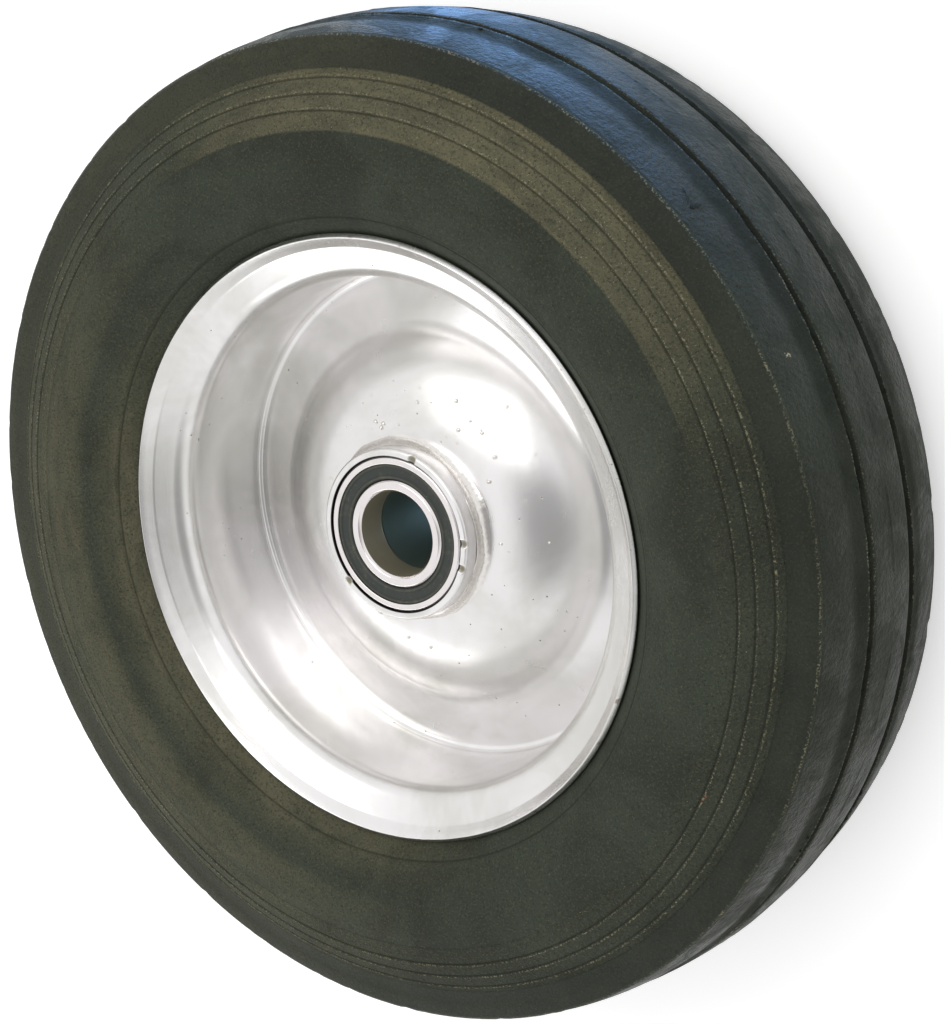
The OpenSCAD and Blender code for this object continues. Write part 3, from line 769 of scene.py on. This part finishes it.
class WHEEL_OT_tyre(bpy.types.Operator):
    """Turns the tyre's section, with wavy groove lips, a torn parting line and nibbled corners"""

    bl_idname = "wheel.tyre"
    bl_label = "Tyre"

    def execute(self, context):
        sizes, colours, _ = settings()
        lip, flash, wear = sizes.lip_wave / MM, sizes.flash_height / MM, sizes.edge_wear / MM
        outline = tyre_outline(sizes)

        def shift(r, z, t):
            """The groove lips lean and sag, the parting line sinks between its torn crests, the corner loses small chips, and the sides swell a little."""
            side = np.sign(z)
            u = np.abs(z)
            outer, inner = near(r, 174.1, 1.2) * near(u, 15.25, 0.8), near(r, 174.2, 1.2) * near(u, 11.95, 0.8)
            ragged = waves(t + 0.7 * side, [9, 14, 23, 37, 58, 81, 110, 143], 3, 0.3)
            ragged2 = waves(t - 0.4 * side, [7, 12, 19, 31, 52, 77, 101, 139], 4, 0.3)
            crest = np.clip(waves(t, [13, 21, 34, 55, 89, 120, 150], 5), -1, 1)
            parting = near(z, 0.0, 0.5) * (r > 174)
            corner = near(r, 169.8, 1.6) * near(u, 38.5, 1.6)
            chips = np.clip(waves(t + 1.1 * side, [31, 47, 76, 101, 133, 155], 6) - 0.25, 0, 1)
            dr = -lip * (0.5 + 0.5 * ragged) * outer - lip * (0.5 + 0.5 * ragged2) * inner
            dr = dr - corner * chips * wear + parting * (0.24 - flash * 0.6 * np.clip(0.4 - crest, 0, 1))
            dz = side * (lip * 0.7 * ragged * outer + lip * 0.6 * ragged2 * inner)
            body = (u > 38.9) & (r > 108) & (r < 158)
            dz = dz - side * body * near(r, 132, 18) * (0.06 + 0.06 * waves(t + side, [2, 3, 5, 7], 7))
            return dr, dz

        points, faces = turned(outline, 512, shift)
        piece = mesh_piece("moulded_tyre", points, faces, "wheel", rubber_finish(colours))
        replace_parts(piece, "tyre")
        return {"FINISHED"}


class WHEEL_OT_crumbs(bpy.types.Operator):
    """Scatters crumbs and torn flakes of rubber along the parting line and the groove lips"""

    bl_idname = "wheel.crumbs"
    bl_label = "Torn rubber"

    def execute(self, context):
        sizes, colours, _ = settings()
        rng = np.random.default_rng(11)
        long = sizes.crumb / MM
        count = 70
        turn = rng.uniform(0, TURN, count)
        z = np.where(rng.random(count) < 0.55, rng.normal(0, 0.5, count), rng.choice([-15.8, 15.8, 11.2, -11.2], count) + rng.normal(0, 0.4, count))
        size = np.stack([rng.uniform(0.3, 1.0, count) * long * 0.6, rng.uniform(0.2, 0.5, count) * long * 0.5, rng.uniform(0.15, 0.35, count)], 1)
        r = 174.1 - size[:, 2] * 0.9
        turn, z, r, size = (np.concatenate([a, b]) for a, b in zip((turn, z, r, size), (
            np.radians([36.0, 37.0, 38.1, 39.0, 58.5, 62.0]), [27.6, 28.6, 29.6, 29.0, 1.0, -0.6],
            [171.1, 171.2, 171.1, 171.2, 174.2, 174.2], [[2.4, 0.9, 0.9], [3.2, 1.3, 1.2], [2.8, 1.0, 1.0], [1.5, 0.7, 0.9], [2.6, 1.2, 0.5], [2.0, 0.9, 0.5]])))
        out = np.stack([np.cos(turn), np.sin(turn), 0 * turn], 1)
        centre = np.column_stack([out[:, :2] * r[:, None], z])
        points, faces = blobs(centre, out, size, 0.28, 12)
        reach = np.hypot(points[:, 0], points[:, 1])
        points[:, :2] *= (np.minimum(reach, 174.75) / reach)[:, None]
        mesh_piece("rubber_crumbs", points * MM, faces, "wheel", crumb_finish(colours))
        return {"FINISHED"}


class WHEEL_OT_pressings(bpy.types.Operator):
    """Turns the two pressings from their sections, a little out of true like drawn sheet"""

    bl_idname = "wheel.pressings"
    bl_label = "Pressings"

    def execute(self, context):
        sizes, colours, _ = settings()
        wave = sizes.sheet_wave / MM

        def shift(r, z, t):
            """The lip's sheared edge ripples, and the free parts of the sheet swell softly."""
            lip = near(r, 104.6, 1.2) * near(np.abs(z), 39.2, 1.4)
            free = near(r, 96, 6) + 0.6 * near(r, 52, 13)
            dr = wave * near(r, 96, 6) * waves(t, [2, 3, 5, 8], 21) - 0.08 * lip * np.abs(waves(t, [17, 29, 41], 22))
            dz = wave * free * (waves(t, [1, 2, 3, 5], 24) + 0.5 * waves(t, [4, 7, 11], 25) * np.cos(r / 9))
            return dr, dz - np.sign(z) * lip * 0.12 * (0.5 + 0.5 * waves(t, [5, 9, 14, 26], 23))

        finish = zinc_finish(colours)
        for node, seen, back, way in (
            ("front_pressing", FRONT_SEEN, FRONT_BACK, 1),
            ("rear_pressing", REAR_SEEN, REAR_BACK, -1),
        ):
            outline = spread(rounded(np.vstack([seen, back[::-1]]), 0.35, 4), 2.5) * [1, way]
            points, faces = turned(outline, 384, shift)
            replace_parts(mesh_piece(node + "_drawn", points, faces, "wheel", finish), node)
        return {"FINISHED"}


class WHEEL_OT_hub(bpy.types.Operator):
    """Turns the hub tube, with its bearing seats and the stake marks punched into its ends, and finishes the spacer"""

    bl_idname = "wheel.hub"
    bl_label = "Hub tube"

    def execute(self, context):
        _, colours, _ = settings()
        half = np.array([[27.5, 12.2], [27.5, 25.5], [29.45, 25.5], [30.15, 24.8]])[::-1]
        outline = np.vstack([half, [[24.5, 12.2]]])
        outline = spread(rounded(np.vstack([outline, mirrored(outline)]), 0.25, 3), 2.0)
        marks = np.radians(STAKES)

        def shift(r, z, t):
            """Each stake mark is a smooth dent in the end face, 0.8 deep at the bearing and 2.4 wide."""
            across = np.abs((t[..., None] - marks + math.pi) % TURN - math.pi) * 28.7
            dent = (1 / (1 + np.exp((across - 1.15) / 0.14))).sum(-1) * (np.abs(z) > 24.6) * (r > 27.4)
            dent = dent * np.clip((30.2 - r) / 0.9, 0, 1)
            return 0 * r, -np.sign(z) * 0.75 * dent

        points, faces = turned(outline, 720, shift)
        tube = mesh_piece("hub_tube_dressed", points, faces, "wheel", hub_finish(colours))
        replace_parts(tube, "hub_tube")
        plain = ground_finish("turned_steel", colours.plain_steel, colours.plain_steel, 0.50, 1500)
        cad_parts["spacer_tube"].data.materials.clear()
        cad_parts["spacer_tube"].data.materials.append(plain)
        return {"FINISHED"}


def bead_shift(ripple, seed):
    """How a bead's skin strays: its toe and crest wander smoothly, and faint ripples curve across it as the arc moved on."""

    def shift(r, z, t):
        toe, crest = waves(t, [2, 3, 5, 8, 13, 19], seed, 0.5), waves(t, [2, 3, 5, 9, 14], seed + 1, 0.5)
        ripples = waves(t + 0.0009 * (r - 32) ** 2, [61, 74, 88, 103], seed + 2) * (0.4 + 0.6 * np.clip(waves(t, [2, 3, 4], seed + 3), 0, 1))
        return ripple * (0.10 * ripples + 1.8 * toe), ripple * (0.10 * ripples + 1.8 * crest)

    return shift


class WHEEL_OT_welds(bpy.types.Operator):
    """Lays the three weld beads round the hub and the disc, and scatters spatter over the dome"""

    bl_idname = "wheel.welds"
    bl_label = "Welds and spatter"

    def execute(self, context):
        sizes, colours, _ = settings()
        finish = weld_finish(colours)
        ripple = sizes.bead_ripple / MM
        edge_seen, edge_back = REAR_SEEN[-1] * [1, -1], REAR_BACK[-1] * [1, -1]
        web = (np.array(FOOT) - WEB_CORNER) / math.dist(FOOT, WEB_CORNER)
        toe, foot, back = edge_back + 3.0 * web, FRONT_BACK[-1], FRONT_BACK[-2]
        beads = {
            "front_hub_weld": (np.vstack([[[30.1, 15.2]], arc([33.9, 15.25], [30.1, 19.7], 0.75, 14), [[29.9, 19.6], [29.9, 15.2]]]), 31),
            "back_hub_weld": (np.vstack([[[29.9, foot[1] + 0.4]], arc([29.9, foot[1] - 3.3], back + [0.2, 0.2], 0.5, 12), [back + [0, 0.6]]]), 34),
            "lap_weld": (np.vstack([[edge_back + [0, 0.3]], arc(toe + [0, 0.15], edge_seen + [0.2, 0.2], -0.5, 12), [edge_back + [0.5, -0.3]]]), 37),
        }
        for node, (outline, seed) in beads.items():
            points, faces = turned(spread(outline, 0.6), 900, bead_shift(ripple, seed))
            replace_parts(mesh_piece(node + "_bead", points, faces, "wheel", finish), node)

        dome = FRONT_SEEN[::-1]

        def height_at(r):
            """Height of the dome over the middle plane at radius r."""
            return np.interp(r, dome[:40, 0], dome[:40, 1])

        rng = np.random.default_rng(41)
        count = sizes.droplets
        turn = np.radians(np.where(rng.random(count) < 0.7, rng.uniform(20, 115, count), rng.uniform(0, 360, count)))
        r = 35.5 + 22 * rng.random(count) ** 1.6
        z = height_at(r)
        dz = (height_at(r + 0.5) - z) / 0.5
        out = np.stack([-dz * np.cos(turn), -dz * np.sin(turn), 1 + 0 * turn], 1)
        size = sizes.droplet / MM * rng.uniform(0.45, 1.5, count) ** 1.3
        size = np.stack([size, size * rng.uniform(0.8, 1.0, count), size * rng.uniform(0.5, 0.9, count)], 1)
        centre = np.stack([r * np.cos(turn), r * np.sin(turn), z + 0.1 * size[:, 0]], 1)
        points, faces = blobs(centre, out, size, 0.06, 42)
        mesh_piece("weld_spatter", points * MM, faces, "wheel", finish)
        return {"FINISHED"}


class WHEEL_OT_bearings(bpy.types.Operator):
    """Turns the rings and seals of both bearings, and finishes the balls and cages inside them"""

    bl_idname = "wheel.bearings"
    bl_label = "Bearings"

    def execute(self, context):
        _, colours, _ = settings()
        ground = ground_finish("ground_steel", colours.steel, colours.zinc_dull, 0.10, 2600)
        rubber = seal_finish(colours)
        strip = ground_finish("pressed_strip", colours.cage, colours.plain_steel, 0.30, 900)
        ball = ground_finish("polished_balls", colours.steel, colours.steel, 0.04, 200)
        race = 3.572 + 0.08
        groove_out = np.array([21.25, 0]) + race * np.stack([np.cos(np.linspace(-0.86, 0.86, 17)), np.sin(np.linspace(-0.86, 0.86, 17))], 1)
        groove_in = np.array([21.25, 0]) - race * np.stack([np.cos(np.linspace(-0.86, 0.86, 17)), np.sin(np.linspace(-0.86, 0.86, 17))], 1)
        outer = np.vstack([[[23.4, 4.5], [24.7, 4.5], [24.7, 6.5], [26.6, 6.5], [27.5, 5.6], [27.5, -5.6], [26.6, -6.5], [24.7, -6.5], [24.7, -4.5], [23.4, -4.5]], groove_out[(np.abs(groove_out[:, 0]) > 23.4)]])
        inner = np.vstack([[[15.0, -5.6], [15.9, -6.5], [18.2, -6.5], [19.1, -5.6]], groove_in[(groove_in[:, 0] < 19.1)], [[19.1, 5.6], [18.2, 6.5], [15.9, 6.5], [15.0, 5.6]]])
        seal = np.array([[24.7, 4.5], [24.7, 5.7], [24.3, 6.1], [23.5, 6.1], [23.1, 5.72], [20.85, 5.72], [20.45, 6.1], [19.65, 6.1], [19.25, 5.7], [19.25, 4.5]])
        middle = 18.7
        for side, way in (("front", 1), ("rear", -1)):
            parts = (
                ("outer_ring", outer * [1, way], 0.22, ground, "ground_steel", "wheel", 256),
                ("inner_ring", inner * [1, way], 0.22, ground, "ground_steel", "axle_side", 256),
                ("outer_seal", seal * [1, way], 0.12, rubber, "seal_rubber", "wheel", 192),
                ("inner_seal", seal * [1, -way], 0.12, rubber, "seal_rubber", "wheel", 192),
            )
            for part, outline, soft, finish, slot, body, count in parts:
                outline = spread(rounded(outline, soft, 3, 25), 1.6) + [0, way * middle]
                points, faces = turned(outline, count)
                node = f"{side}_{part}"
                piece = mesh_piece(f"{node}_turned", points, faces, body, finish)
                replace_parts(piece, node)
            for part, finish in (("cage_top", strip), ("cage_bottom", strip), ("cage_rivets", strip), ("balls", ball)):
                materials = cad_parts[f"{side}_{part}"].data.materials
                materials.clear()
                materials.append(finish)
        return {"FINISHED"}


class WHEEL_PT_panel(bpy.types.Panel):
    """Lists the settings and the steps in the order in which they run"""

    bl_idname = "WHEEL_PT_panel"
    bl_label = "Solid rubber wheel"
    bl_space_type = "VIEW_3D"
    bl_region_type = "UI"
    bl_category = "Wheel"

    def draw(self, context):
        for group in settings():
            box = self.layout.box()
            for key in group.bl_rna.properties.keys():
                if key not in ("rna_type", "name"):
                    box.prop(group, key)
        for idname, label in STEPS:
            self.layout.operator(idname, text=label)


GROUPS = (("wheel_sizes", WheelSizes), ("wheel_colours", WheelColours), ("wheel_stage", WheelStage))
CLASSES = (
    WheelSizes, WheelColours, WheelStage, WHEEL_OT_studio, WHEEL_OT_tyre, WHEEL_OT_crumbs,
    WHEEL_OT_pressings, WHEEL_OT_hub, WHEEL_OT_welds, WHEEL_OT_bearings, WHEEL_PT_panel,
)


def register():
    for cls in CLASSES:
        bpy.utils.register_class(cls)
    for name, group in GROUPS:
        setattr(bpy.types.Scene, name, PointerProperty(type=group))


def unregister():
    for name, _ in GROUPS:
        delattr(bpy.types.Scene, name)
    for cls in reversed(CLASSES):
        bpy.utils.unregister_class(cls)


def main():
    """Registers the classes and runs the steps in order."""
    register()
    for idname, _ in STEPS:
        group, step = idname.split(".")
        getattr(getattr(bpy.ops, group), step)()


if __name__ == "__main__":
    main()
